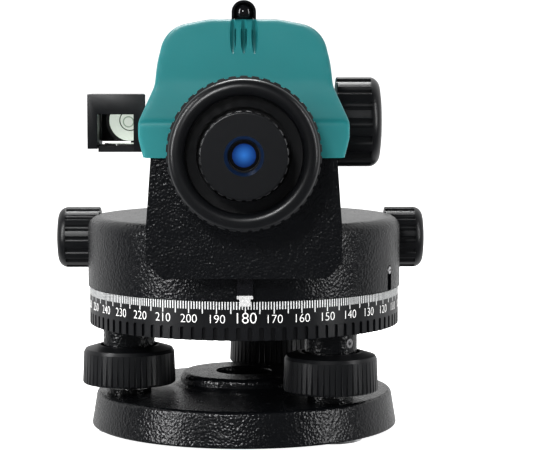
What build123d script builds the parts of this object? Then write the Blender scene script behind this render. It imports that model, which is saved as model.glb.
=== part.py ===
from build123d import *
import math
import os

os.makedirs("parts", exist_ok=True)

# Automatic level, millimetres, +Z up.  The origin is on the vertical axis, at the face that
# rests on the tripod head.  The telescope looks along +Y, so the eyepiece is at -Y.  The focus
# knob is at +X and the circular vial with its mirror at -X.

# ---------------------------------------------------------------- fits shared by many pieces
RUN = 0.05        # radial clearance of a running shaft
GAP = 0.3         # air between bodies that pass each other

# ---------------------------------------------------------------- base
SPRING_T = 1.0            # spring sheet under the base
SPRING_IN_R = 24.4
SPRING_OUT_R = 36.0
SPRING_LOBE_R = 10.5
SPRING_SCREW_PCR = 30.0   # pitch circle radius of its screws
SPRING_SCREW_R = 1.5
SPRING_SCREW_L = 6.5
BASE_R = 52.5
BASE_DRAFT = 1.9          # how much narrower the base is at the top edge
BASE_EDGE_Z = 12.6
BASE_DOME_Z = 14.5
BOSS_R = 22.0
BOSS_TOP_Z = 18.6
TRIPOD_BORE_R = 7.94      # 5/8 inch tripod thread, as a plain bore
TRIPOD_MOUTH_R = 9.35
TRIPOD_BORE_L = 12.0

# ---------------------------------------------------------------- footscrews
SCREW_PCR = 40.5
SCREW_ANGLES = {"a": 195.0, "b": 315.0, "c": 75.0}
BALL_R = 4.0
BALL_Z = 6.8
NECK_R = 2.5
SOCKET_CLEAR = 0.9        # the loop of base, foot and head is open here
LIP_Z = 10.7
LIP_HOLE_R = 3.6
COLLAR_R = 7.5
COLLAR_TOP_Z = 14.6
RETAINER_T = 0.8
SEAT_T = 0.7
FOOTSHAFT_R = 4.0
FOOTSHAFT_TOP_Z = 38.0
STUB_L = 3.2              # ball neck inside the shaft
KNOB_Z = 16.3
KNOB_H = 13.0
KNOB_R = 15.75
KNOB_TOP_R = 14.75
KNOB_RIB_H = 10.7
KNOB_RIBS = 50
KNOB_RIB_DEPTH = 0.55
KNOB_POCKET_R = 9.7
KNOB_POCKET_DEPTH = 5.8

# ---------------------------------------------------------------- levelling head and spindle
HEAD_Z = 36.8
HEAD_T = 4.0
HEAD_R = 49.0
HEAD_HUB_R = 20.0
HEAD_HUB_Z = 32.0
SLEEVE_R = 8.7
SLEEVE_Z = 27.3
NECK_HUB_R = 12.0         # the circle turns on it
NECK_HUB_TOP_Z = 48.5
SET_SCREW_R = 1.6
SET_SCREW_Z = 32.7
SPINDLE_R = 8.0
SPINDLE_TOP_Z = 66.1
SPINDLE_THREAD_R = 5.0
SPINDLE_THREAD_L = 3.0
NUT_R = 7.6
NUT_H = 1.9
CLUTCH_SPRING_T = 1.0
FRICTION_T = 1.0

# ---------------------------------------------------------------- horizontal circle
CIRCLE_R = 53.0
CIRCLE_Z = 36.0
CIRCLE_H = 12.7
CIRCLE_WALL = 2.8
CIRCLE_WEB_T = 2.5
CIRCLE_HUB_R = 17.0
CIRCLE_FLUTES = 90
FLUTE_W = 1.45
FLUTE_H = 4.3
FLUTE_DEPTH = 0.8

# ---------------------------------------------------------------- housing
DRUM_R = 53.5
DRUM_TOP_Z = 72.5
DRUM_ROUND = 4.2
DRUM_WALL = 3.5
DRUM_ROOF = 2.7
BOTTOM_PLATE_T = 2.0
BUSH_R = 11.4
BODY_REAR_Y = -62.0
BODY_FRONT_Y = 50.0
BODY_TOP_Z = 94.9
BODY_TOP_W = 58.2         # full width where the cover sits
BODY_LOW_W = 61.4         # full width at the drum top
BODY_WALL = 2.6
LIP_BOTTOM_Z = 56.9       # the rear of the body hangs this low behind the drum
BULKHEAD_T = 4.0
AXIS_Z = 96.5             # optical axis

# ---------------------------------------------------------------- tangent drive
WORM_PITCH = 1.466        # axial pitch
WORM_R = 3.5              # pitch radius
WORM_TURNS = 6
TOOTH_OUT = 0.35          # addendum
TOOTH_IN = 0.45           # dedendum
WHEEL_TEETH = 60
WHEEL_T = 4.8
TANGENT_Z = 63.4
TANGENT_SHAFT_R = 2.5
TANGENT_KNOB_R = 10.6
TANGENT_KNOB_L = 15.0
TANGENT_RIGHT_L = 13.6
TANGENT_BOSS_L = 6.0      # length of the bush boss inside the drum wall
TANGENT_LEFT_X = -50.5    # inner face of the left knob
TANGENT_RIGHT_X = 49.5
TANGENT_FLUTES = 16
TANGENT_BUSH_R = 5.0

# ---------------------------------------------------------------- cover
COVER_REAR_Y = -63.2
COVER_TOP_Z = 138.7
COVER_WALL = 2.2
COVER_LOW_HALF = 29.9
COVER_HIGH_HALF = 27.0
COVER_CORNER = 8.0
COVER_RIDGE_Y = -30.0
COVER_SLOPE_Z = 116.0     # foot of the rear slope
FLARE_HALF = 33.0
FLARE_END_Y = -36.0
COVER_SCREW_R = 1.6
COVER_SCREW_L = 9.0       # how far the screws reach into the cover
COVER_POST_X = 23.5
COVER_POST_Y = 34.0
COVER_POST_R = 3.6
COVER_POST_H = 12.0
COVER_BROW_Y = 18.0       # where the top starts to fall towards the objective
COVER_BROW_Z = 126.0

# ---------------------------------------------------------------- objective
BARREL_R = 22.5
BARREL_WALL = 3.0
BARREL_BORE_R = BARREL_R - BARREL_WALL
BARREL_COLLAR_T = 2.0     # step of the barrel where it leaves the body
BARREL_END_Y = 96.0
OBJ_RING_T = 1.5          # wall of the ring round the barrel
OBJ_RING_R = BARREL_R + OBJ_RING_T
OBJ_RING_LIP = 1.5        # how far the ring's mouth is inside the barrel's outside
OBJ_RING_L = 12.0
OBJ_RING_END_Y = 103.0
OBJ_CELL_T = 1.5
OBJ_CELL_L = 14.0
OBJ_LENS_R = BARREL_BORE_R - OBJ_CELL_T

# ---------------------------------------------------------------- focusing
FOCUS_Y = -10.0
FOCUS_Z = 104.7
FOCUS_KNOB_R = 15.1
FOCUS_KNOB_X = 31.0
FOCUS_KNOB_L = 15.0
FOCUS_FLUTES = 16
FOCUS_SHAFT_R = 2.0
FOCUS_BUSH_R = 6.0
FOCUS_TAB_X = 21.5
FOCUS_TAB_T = 4.5
PINION_R = 2.5            # pitch radius
PINION_TEETH = 10
RACK_X = 11.0
RACK_W = 4.0
FOCUS_TRAVEL = 10.0       # each way
CELL_R = 10.0
CELL_Y = 21.0
CELL_L = 7.0
FOCUS_LENS_R = 8.0
ROD_R = 1.5
ROD_X = 13.0
ROD_Z = 87.0
ROD_START_Y = -15.5

# ---------------------------------------------------------------- compensator
COMP_Y = -31.0
COMP_HALF_W = 10.2
COMP_CHEEK_T = 1.5
COMP_LEN = 30.0
PIVOT_Z = 115.0
PIVOT_R = 1.0
PENDULUM_BOTTOM_Z = 83.5
PRISM = 14.0

# ---------------------------------------------------------------- eyepiece
EYE_TUBE_R = 11.5
EYE_TUBE_BORE_R = 9.0
EYE_TUBE_END_Y = -86.0
EYE_RING_R = 23.9
EYE_RING_FRONT_Y = -80.0
EYE_RING_TEETH = 42
DIOPTRE_R = 13.5
DIOPTRE_FRONT_Y = -90.0
DIOPTRE_BACK_Y = -76.0
DIOPTRE_SCALLOPS = 28
EYE_HOLE_R = 6.0
EYE_CELL_R = 8.9
EYE_LENS_R = 4.6
RETICLE_Y = -55.0

# ---------------------------------------------------------------- vial and mirror
VIAL_X = -38.3
VIAL_Y = -20.0
VIAL_R = 8.0
VIAL_H = 2.0
VIAL_TOP_Z = 97.9
VIAL_PLATE_T = 0.6
MIRROR_T = 1.0
BOX_LEFT_X = -51.2
BOX_WALL = 3.3
BOX_TOP_Z = 114.2
BOX_ROOF_Z = 107.7
BOX_FRONT_Y = -30.5
BOX_BACK_Y = -8.0
BOX_BOTTOM_Z = 96.4
ARM_FOOT_X = -31.2        # outer face of the arm's foot, beside the body wall
ARM_FOOT_H = 9.0          # how far the foot reaches down the body
ARM_INNER_X = -25.0       # the arm is cut back to the body from here
ARM_TAB_X = -33.6         # outer face of its tab on the cover
ARM_TAB_H = 8.0
BOX_PLATE_X = -36.1

# ---------------------------------------------------------------- sight, pointer, small screws
SIGHT_HALF = 4.0
SIGHT_Y = -26.0
SIGHT_DEPTH = 5.0
SIGHT_TOP_Z = 144.9
BEAD_R = 3.0
POINTER_W = 5.1
POINTER_X = 0.25
POINTER_Y = -57.0
POINTER_T = 2.5
POINTER_TIP_Z = 47.6
SLOT_SCREW_R = 1.25
SLOT_SCREW_ANGLE = -25.0  # around the drum, from +X
SLOT_SCREW_Z = 55.6


# ================================================================ helpers
def outline(points):
    """A closed face through (x, y) points; a third number rounds that corner."""
    face = make_face(Polyline(*[(p[0], p[1]) for p in points], close=True))
    for p in points:
        if len(p) == 3:
            corner = face.vertices().sort_by_distance((p[0], p[1], 0))[0]
            face = fillet(corner, p[2])
    return face


POINTING = {"X": Rot(0, 90, 0), "-X": Rot(0, -90, 0), "Y": Rot(-90, 0, 0), "Z": Rot(0, 0, 0)}


def placed(shape, axis="Z", at=(0, 0, 0)):
    """Turns a piece that was made along +Z to point along the axis, and moves it."""
    return Pos(*at) * (POINTING[axis] * shape)


def turned(points, axis="Z", at=(0, 0, 0)):
    """A turned piece: (radius, height) points revolved about the axis through at."""
    return placed(Rot(90, 0, 0) * revolve(outline(points), axis=Axis.Y), axis, at)


def rod(radius, start, length, axis="Z", at=(0, 0, 0)):
    """A plain cylinder from start to start + length along the axis through at."""
    points = [(0, start), (radius, start), (radius, start + length), (0, start + length)]
    return turned(points, axis, at)


def tube(bore, radius, start, length, axis="Z", at=(0, 0, 0)):
    """A plain tube from start to start + length along the axis through at."""
    end = start + length
    return turned([(bore, start), (radius, start), (radius, end), (bore, end)], axis, at)


def block(x0, x1, y0, y1, z0, z1):
    """A box between the given faces."""
    return Pos((x0 + x1) / 2, (y0 + y1) / 2, (z0 + z1) / 2) * Box(x1 - x0, y1 - y0, z1 - z0)


def around_z(shape, count, start=0.0):
    """Copies of a shape, evenly turned about Z."""
    return [Rot(0, 0, start + 360.0 * k / count) * shape for k in range(count)]


def scallops(cut_r, circle_r, start, length, count):
    """Flute cutters along Z, evenly spaced on a circle."""
    return around_z(rod(cut_r, start, length, at=(circle_r, 0, 0)), count)


def at_screw(name):
    """The place of one footscrew's vertical axis."""
    angle = math.radians(SCREW_ANGLES[name])
    return (SCREW_PCR * math.cos(angle), SCREW_PCR * math.sin(angle), 0)


def save(name, shape):
    """Writes one node; a list becomes a group of separate solids."""
    if isinstance(shape, list):
        shape = Compound(children=[s for item in shape for s in item.solids()])
    export_step(shape, f"parts/{name}.step")


# ================================================================ base
SOCKET_R = BALL_R + SOCKET_CLEAR


def base_plate():
    top_r = BASE_R - BASE_DRAFT
    body = turned([
        (TRIPOD_BORE_R, 0), (SPRING_IN_R - 0.4, 0), (SPRING_IN_R - 0.4, SPRING_T),
        (BASE_R, SPRING_T, 0.6), (top_r, BASE_EDGE_Z, 1.6), (BOSS_R + 2.5, BASE_DOME_Z),
        (BOSS_R, BASE_DOME_Z + 1.0), (BOSS_R, BOSS_TOP_Z, 1.8), (TRIPOD_MOUTH_R, BOSS_TOP_Z, 0.6),
        (TRIPOD_MOUTH_R, TRIPOD_BORE_L + 1.4), (TRIPOD_BORE_R, TRIPOD_BORE_L)])
    for name in SCREW_ANGLES:
        place = at_screw(name)
        body += rod(COLLAR_R, BASE_EDGE_Z - 3, COLLAR_TOP_Z - BASE_EDGE_Z + 3, at=place)
        body -= rod(SOCKET_R, 0, LIP_Z, at=place)
        body -= rod(LIP_HOLE_R, 0, COLLAR_TOP_Z + 1, at=place)
    hole = rod(SPRING_SCREW_R, 0, SPRING_SCREW_L + 0.5, at=(SPRING_SCREW_PCR, 0, 0))
    return body - around_z(hole, 3, 15)


def spring_plate():
    sheet = tube(SPRING_IN_R, SPRING_OUT_R, 0, SPRING_T)
    for name in SCREW_ANGLES:
        sheet += rod(SPRING_LOBE_R, 0, SPRING_T, at=at_screw(name))
    hole = rod(SPRING_SCREW_R + 0.2, -1, SPRING_T + 2, at=(SPRING_SCREW_PCR, 0, 0))
    return sheet - around_z(hole, 3, 15)


def spring_plate_screws():
    screw = rod(SPRING_SCREW_R, 0.1, SPRING_SCREW_L, at=(SPRING_SCREW_PCR, 0, 0))
    return around_z(screw, 3, 15)


def lower_seat(name):
    start = SPRING_T + RETAINER_T + 0.5
    return tube(NECK_R, SOCKET_R - 0.4, start, SEAT_T, at=at_screw(name))


def upper_seat(name):
    start = LIP_Z - 0.6 - SEAT_T
    return tube(LIP_HOLE_R - 0.1, SOCKET_R - 0.4, start, SEAT_T, at=at_screw(name))


def ball_retainers():
    """The discs that close the three sockets, with the loose seats of feet a and b."""
    discs = [rod(SOCKET_R - 0.05, SPRING_T, RETAINER_T, at=at_screw(n)) for n in SCREW_ANGLES]
    return discs + [seat(n) for n in "ab" for seat in (lower_seat, upper_seat)]


# ================================================================ footscrews
def ball_foot(name):
    place = at_screw(name)
    neck = rod(NECK_R, BALL_Z, KNOB_Z + STUB_L - BALL_Z - 0.3, at=place)
    return Pos(place[0], place[1], BALL_Z) * Sphere(BALL_R) + neck


def footscrew_shaft(name):
    place = at_screw(name)
    shaft = rod(FOOTSHAFT_R, KNOB_Z, FOOTSHAFT_TOP_Z - KNOB_Z, at=place)
    return shaft - rod(NECK_R + RUN, KNOB_Z - 1, STUB_L + 1, at=place)


def footscrew_knob():
    """One knob about the Z axis, copied to the three footscrews."""
    top = KNOB_Z + KNOB_H
    floor = top - KNOB_POCKET_DEPTH
    knob = turned([
        (FOOTSHAFT_R, KNOB_Z), (KNOB_R, KNOB_Z, 0.8), (KNOB_R - 0.4, KNOB_Z + KNOB_RIB_H),
        (KNOB_TOP_R, top - 1.2), (KNOB_POCKET_R + 1.0, top), (KNOB_POCKET_R, top),
        (KNOB_POCKET_R, floor), (FOOTSHAFT_R, floor)])
    groove = Rot(0, 0, 45) * Box(KNOB_RIB_DEPTH * 1.6, KNOB_RIB_DEPTH * 1.6, KNOB_RIB_H)
    groove = Pos(KNOB_R + 0.15, 0, KNOB_Z + KNOB_RIB_H / 2) * groove
    return knob - around_z(groove, KNOB_RIBS)


# ================================================================ levelling head and spindle
def levelling_head():
    top = HEAD_Z + HEAD_T
    head = turned([
        (SPINDLE_R, HEAD_HUB_Z), (HEAD_HUB_R, HEAD_HUB_Z, 1.0), (HEAD_HUB_R, HEAD_Z),
        (HEAD_R, HEAD_Z, 0.8), (HEAD_R, top), (NECK_HUB_R, top), (NECK_HUB_R, NECK_HUB_TOP_Z),
        (SPINDLE_R, NECK_HUB_TOP_Z)])
    for name in SCREW_ANGLES:
        place = at_screw(name)
        head += rod(SLEEVE_R, SLEEVE_Z, HEAD_Z + 1 - SLEEVE_Z, at=place)
    for name, angle in SCREW_ANGLES.items():
        head -= rod(FOOTSHAFT_R + RUN, SLEEVE_Z - 1, top + 2 - SLEEVE_Z, at=at_screw(name))
        head -= Rot(0, 0, angle) * rod(SET_SCREW_R, SCREW_PCR, SLEEVE_R + 1, "X",
                                       (0, 0, SET_SCREW_Z))
    return head


def head_set_screws():
    start = SCREW_PCR + FOOTSHAFT_R + RUN + 0.6
    end = SCREW_PCR + SLEEVE_R - 0.2
    screw = rod(SET_SCREW_R, start, end - start, "X", (0, 0, SET_SCREW_Z))
    screw -= Pos(end, 0, SET_SCREW_Z) * (Rot(0, 90, 0) * extrude(RegularPolygon(0.8, 6), 1.2, both=True))
    return [Rot(0, 0, angle) * screw for angle in SCREW_ANGLES.values()]


def centre_spindle():
    return turned([
        (0, HEAD_HUB_Z + 0.5), (SPINDLE_R, HEAD_HUB_Z + 0.5), (SPINDLE_R, SPINDLE_TOP_Z, 0.4),
        (SPINDLE_THREAD_R, SPINDLE_TOP_Z), (SPINDLE_THREAD_R, SPINDLE_TOP_Z + SPINDLE_THREAD_L),
        (0, SPINDLE_TOP_Z + SPINDLE_THREAD_L)])


def clutch_spring():
    return tube(SPINDLE_THREAD_R, SPINDLE_R + 2.0, SPINDLE_TOP_Z, CLUTCH_SPRING_T)


def spindle_nut():
    start = SPINDLE_TOP_Z + CLUTCH_SPRING_T
    nut = Pos(0, 0, start) * extrude(RegularPolygon(NUT_R, 6), NUT_H)
    return nut - rod(SPINDLE_THREAD_R, start - 1, NUT_H + 2)


def circle_friction_ring():
    return tube(NECK_HUB_R + 0.4, CIRCLE_HUB_R - 0.5, HEAD_Z + HEAD_T, FRICTION_T)


# ================================================================ horizontal circle
def horizontal_circle():
    top = CIRCLE_Z + CIRCLE_H
    web_top = top - 1.4
    hub_z = HEAD_Z + HEAD_T + FRICTION_T + 0.2
    inner = CIRCLE_R - CIRCLE_WALL
    ring = turned([
        (inner, CIRCLE_Z), (CIRCLE_R, CIRCLE_Z, 0.3), (CIRCLE_R, top, 0.3), (inner, top),
        (inner, web_top), (NECK_HUB_R + RUN, web_top), (NECK_HUB_R + RUN, hub_z),
        (CIRCLE_HUB_R, hub_z), (CIRCLE_HUB_R, web_top - CIRCLE_WEB_T), (inner, web_top - CIRCLE_WEB_T)])
    straight = FLUTE_H - FLUTE_W / 2
    start = CIRCLE_R - FLUTE_DEPTH
    cutter = block(start, CIRCLE_R + 1, -FLUTE_W / 2, FLUTE_W / 2, CIRCLE_Z - 1, CIRCLE_Z + straight)
    cutter += rod(FLUTE_W / 2, start, FLUTE_DEPTH + 1, "X", (0, 0, CIRCLE_Z + straight))
    return ring - around_z(cutter, CIRCLE_FLUTES)


# ================================================================ tangent drive
WHEEL_R = WORM_PITCH * WHEEL_TEETH / (2 * math.pi)
TANGENT_Y = WHEEL_R + WORM_R
LEAD_ANGLE = math.degrees(math.atan(WORM_PITCH / (2 * math.pi * WORM_R)))
THREAD_HALF = 0.26        # half thickness of the worm thread at its pitch radius


def worm_wheel():
    slot_half = WORM_PITCH / 2 - THREAD_HALF
    flank = 0.2
    wheel = tube(SPINDLE_R + RUN, WHEEL_R + TOOTH_OUT, TANGENT_Z - WHEEL_T / 2, WHEEL_T)
    profile = outline([
        (WHEEL_R - TOOTH_IN, -slot_half + flank * TOOTH_IN), (WHEEL_R + 1, -slot_half - flank),
        (WHEEL_R + 1, slot_half + flank), (WHEEL_R - TOOTH_IN, slot_half - flank * TOOTH_IN)])
    slot = extrude(profile, WHEEL_T, both=True)
    slot = Pos(0, 0, TANGENT_Z) * (Rot(-LEAD_ANGLE, 0, 0) * slot)
    return wheel - around_z(slot, WHEEL_TEETH, 90)


def tangent_worm_shaft():
    length = WORM_TURNS * WORM_PITCH
    root = WORM_R - TOOTH_IN
    helix = Helix(WORM_PITCH, length, root - 0.1)
    flank = 0.12
    section = Plane(origin=helix @ 0, x_dir=(1, 0, 0), z_dir=helix % 0) * outline([
        (0, -THREAD_HALF - flank), (TOOTH_IN + TOOTH_OUT + 0.1, -THREAD_HALF + flank),
        (TOOTH_IN + TOOTH_OUT + 0.1, THREAD_HALF - flank), (0, THREAD_HALF + flank)])
    thread = sweep(section, path=helix, is_frenet=True)
    worm = Pos(0, 0, -length / 2) * thread
    worm += rod(root, -length / 2 - 2, length + 4)
    worm = Plane(origin=(0, TANGENT_Y, TANGENT_Z), x_dir=(0, -1, 0), z_dir=(1, 0, 0)) * worm
    left = TANGENT_LEFT_X - TANGENT_KNOB_L + 3
    right = TANGENT_RIGHT_X + TANGENT_RIGHT_L - 3
    place = (0, TANGENT_Y, TANGENT_Z)
    worm += rod(TANGENT_SHAFT_R, left, -length / 2 - 1 - left, "X", place)
    worm += rod(TANGENT_SHAFT_R, length / 2 + 1, right - length / 2 - 1, "X", place)
    return worm


def tangent_knob(face_x, side, length):
    """A fluted knob; side is +1 on the right and -1 on the left."""
    body = turned([
        (TANGENT_SHAFT_R, 0), (TANGENT_KNOB_R, 0, 0.5), (TANGENT_KNOB_R, length - 0.6, 3.4),
        (TANGENT_KNOB_R * 0.5, length), (0, length), (0, length - 3), (TANGENT_SHAFT_R, length - 3)])
    body -= scallops(1.5, TANGENT_KNOB_R + 0.85, -1, length - 2.2, TANGENT_FLUTES)
    return placed(body, "X" if side > 0 else "-X", (face_x, TANGENT_Y, TANGENT_Z))


# ================================================================ housing
SPINE = (0, 0, AXIS_Z)    # a point on the optical axis
DRUM_Z = CIRCLE_Z + CIRCLE_H + 0.2
DRUM_IN_R = DRUM_R - DRUM_WALL
DRUM_ROOF_Z = DRUM_TOP_Z - DRUM_ROOF


def along_y(face, y0, y1):
    """An (x, z) section stretched from y0 to y1."""
    plane = Plane(origin=(0, y0, 0), x_dir=(1, 0, 0), z_dir=(0, -1, 0))
    return plane * extrude(face, -(y1 - y0))


def along_x(face, x0, x1):
    """A (y, z) section stretched from x0 to x1."""
    plane = Plane(origin=(x0, 0, 0), x_dir=(0, 1, 0), z_dir=(1, 0, 0))
    return plane * extrude(face, x1 - x0)


def mirrored(half):
    """A closed outline from its right half, bottom first."""
    return outline(half + [(-p[0],) + tuple(p[1:]) for p in reversed(half)])


def body_section(shrink, bottom, corner):
    """Section of the telescope body: a little wider at the foot than at the top."""
    top = BODY_TOP_W / 2 - shrink
    low = BODY_LOW_W / 2 - shrink
    return mirrored([(low - corner, bottom), (low, bottom + corner), (low, DRUM_TOP_Z + 0.1),
                     (top, BODY_TOP_Z)])


def knob_places():
    """The two ends of the tangent shaft: inner face of the knob and which way it points."""
    return [(TANGENT_LEFT_X, -1), (TANGENT_RIGHT_X, 1)]


def housing_shell():
    drum = turned([(0, DRUM_Z), (DRUM_R, DRUM_Z), (DRUM_R, DRUM_TOP_Z, DRUM_ROUND), (0, DRUM_TOP_Z)])
    rear = along_y(body_section(0, LIP_BOTTOM_Z, 5.0), BODY_REAR_Y, -DRUM_IN_R * 0.8)
    body = along_y(body_section(0, DRUM_ROOF_Z, 0.5), BODY_REAR_Y, BODY_FRONT_Y)
    return drum, rear + body


def main_housing():
    drum, body = housing_shell()
    front = BODY_FRONT_Y - BULKHEAD_T
    housing = drum + body
    housing += rod(EYE_TUBE_R + 5.5, BODY_REAR_Y, BULKHEAD_T, "Y", SPINE)
    housing += rod(BARREL_R + BARREL_COLLAR_T, front, BULKHEAD_T, "Y", SPINE)
    housing += rod(BARREL_R, BODY_FRONT_Y - 1, BARREL_END_Y - BODY_FRONT_Y + 1, "Y", SPINE)
    housing -= rod(DRUM_IN_R, CIRCLE_Z, DRUM_ROOF_Z - CIRCLE_Z)
    trough = along_y(body_section(BODY_WALL, DRUM_TOP_Z, 0.05), BODY_REAR_Y + BULKHEAD_T, front)
    housing -= trough + block(-COVER_POST_X, COVER_POST_X, BODY_REAR_Y + BULKHEAD_T, front,
                              BODY_TOP_Z - 1, BODY_TOP_Z + 1)
    housing -= rod(EYE_TUBE_R, BODY_REAR_Y - 1, BULKHEAD_T + 2, "Y", SPINE)
    housing -= rod(BARREL_BORE_R, front - 1, BARREL_END_Y, "Y", SPINE)
    for x, y in cover_screw_places():
        housing += rod(COVER_POST_R, DRUM_TOP_Z - 1, BODY_TOP_Z - DRUM_TOP_Z + 1, at=(x, y, 0))
        housing -= rod(COVER_SCREW_R, CIRCLE_Z, BODY_TOP_Z, at=(x, y, 0))
    for side in (-1, 1):
        tab_x = side * ROD_X
        housing += block(tab_x - 2.5, tab_x + 2.5, ROD_START_Y, ROD_START_Y + 3, DRUM_TOP_Z - 1,
                         ROD_Z + 3)
        housing -= rod(ROD_R, ROD_START_Y - 1, 5, "Y", (tab_x, 0, ROD_Z))
    for face_x, side in knob_places():
        axis = "X" if side > 0 else "-X"
        place = (face_x, TANGENT_Y, TANGENT_Z)
        boss = rod(TANGENT_KNOB_R + 1.4, -TANGENT_BOSS_L, TANGENT_BOSS_L + 4, axis, place)
        housing += boss & rod(DRUM_R - 0.3, DRUM_Z + BOTTOM_PLATE_T + 0.1, DRUM_ROOF_Z - DRUM_Z)
        housing -= rod(TANGENT_KNOB_R + 1.2, -GAP, 20, axis, place)
        housing -= rod(TANGENT_BUSH_R, -TANGENT_BOSS_L - 1, 20, axis, place)
    housing += block(FOCUS_TAB_X, FOCUS_TAB_X + FOCUS_TAB_T, FOCUS_Y - 8, FOCUS_Y + 8,
                     BODY_TOP_Z - 6, FOCUS_Z + 8)
    housing += block(FOCUS_TAB_X, BODY_TOP_W / 2 - 0.5, FOCUS_Y - 8, FOCUS_Y + 8, BODY_TOP_Z - 6,
                     BODY_TOP_Z)
    housing -= rod(FOCUS_BUSH_R, FOCUS_TAB_X - 1, FOCUS_TAB_T + 2, "X", (0, FOCUS_Y, FOCUS_Z))
    slot = block(DRUM_R - 0.8, DRUM_R + 1, -SLOT_SCREW_R - 0.4, SLOT_SCREW_R + 0.4, DRUM_Z - 1,
                 SLOT_SCREW_Z)
    slot += rod(SLOT_SCREW_R + 0.4, DRUM_R - 0.8, 2, "X", (0, 0, SLOT_SCREW_Z))
    slot += rod(SLOT_SCREW_R * 0.6, DRUM_R - 3.0, 3, "X", (0, 0, SLOT_SCREW_Z))
    return housing - Rot(0, 0, SLOT_SCREW_ANGLE) * slot


def housing_bottom_plate():
    return tube(BUSH_R, DRUM_IN_R - 0.05, DRUM_Z, BOTTOM_PLATE_T)


def spindle_bush():
    top = TANGENT_Z - WHEEL_T / 2 - 0.4
    flange = DRUM_Z + BOTTOM_PLATE_T
    return turned([
        (SPINDLE_R + RUN, DRUM_Z), (BUSH_R, DRUM_Z), (BUSH_R, flange), (BUSH_R + 3, flange),
        (BUSH_R + 3, flange + 1.6), (BUSH_R, flange + 1.6), (BUSH_R, top), (SPINDLE_R + RUN, top)])


def shaft_bushes():
    bushes = []
    for face_x, side in knob_places():
        bushes.append(tube(TANGENT_SHAFT_R + RUN, TANGENT_BUSH_R, -TANGENT_BOSS_L,
                           TANGENT_BOSS_L - GAP, "X" if side > 0 else "-X",
                           (face_x, TANGENT_Y, TANGENT_Z)))
    length = FOCUS_KNOB_X - GAP - FOCUS_TAB_X
    bushes.append(tube(FOCUS_SHAFT_R + RUN, FOCUS_BUSH_R, FOCUS_TAB_X, length, "X",
                       (0, FOCUS_Y, FOCUS_Z)))
    return bushes


def index_pointer():
    half = POINTER_W / 2
    tip = 49.9
    profile = outline([
        (POINTER_X - half + 0.8, POINTER_TIP_Z), (POINTER_X + half - 0.8, POINTER_TIP_Z),
        (POINTER_X + half - 0.8, tip), (POINTER_X + half, tip), (POINTER_X + half, LIP_BOTTOM_Z),
        (POINTER_X - half, LIP_BOTTOM_Z), (POINTER_X - half, tip), (POINTER_X - half + 0.8, tip)])
    return along_y(profile, POINTER_Y, POINTER_Y + POINTER_T)


def housing_screw():
    head = rod(SLOT_SCREW_R, DRUM_R - 0.8, 0.9, "X", (0, 0, SLOT_SCREW_Z))
    head -= block(DRUM_R - 0.3, DRUM_R + 1, -2, 2, SLOT_SCREW_Z - 0.2, SLOT_SCREW_Z + 0.2)
    head += rod(SLOT_SCREW_R * 0.6, DRUM_R - 2.8, 2.0, "X", (0, 0, SLOT_SCREW_Z))
    return Rot(0, 0, SLOT_SCREW_ANGLE) * head


# ================================================================ cover
def cover_screw_places():
    return [(x, y) for x in (-COVER_POST_X, COVER_POST_X) for y in (-COVER_POST_Y, COVER_POST_Y)]


def cover_solid(shrink, bottom):
    """The cover's outer shape, or its inside when shrunk by the wall."""
    half = COVER_LOW_HALF - shrink
    high = COVER_HIGH_HALF - shrink
    top = COVER_TOP_Z - shrink
    rear = COVER_REAR_Y + shrink
    flare = FLARE_HALF - shrink
    shoulder = COVER_SLOPE_Z + 2.5 - shrink
    main = along_y(mirrored([(half, bottom), (half - 1.3, COVER_SLOPE_Z),
                             (high, top, COVER_CORNER - shrink)]), rear, BODY_FRONT_Y - shrink)
    flared = along_y(mirrored([
        (flare - 1.6, bottom), (flare, BODY_TOP_Z + 6),
        (flare, BODY_TOP_Z + 11, 2.0), (flare - 1.9, shoulder - 5), (half - 2.0, shoulder)]),
        rear, FLARE_END_Y - shrink)
    rise = math.atan2(COVER_TOP_Z - COVER_SLOPE_Z, COVER_RIDGE_Y - COVER_REAR_Y)
    fall = math.atan2(COVER_TOP_Z - COVER_BROW_Z, BODY_FRONT_Y - COVER_BROW_Y)
    side = along_x(outline([
        (rear, bottom), (rear, COVER_SLOPE_Z - shrink * (1 / math.cos(rise) - math.tan(rise)), 3.0),
        (COVER_RIDGE_Y + shrink * (1 / math.sin(rise) - 1 / math.tan(rise)), top, 6.0),
        (COVER_BROW_Y - shrink * (1 / math.sin(fall) - 1 / math.tan(fall)), top, 15.0),
        (BODY_FRONT_Y - shrink, COVER_BROW_Z - shrink * (1 / math.cos(fall) - math.tan(fall)), 3.0),
        (BODY_FRONT_Y - shrink, bottom)]), -60, 60)
    return (main + flared) & side


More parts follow.
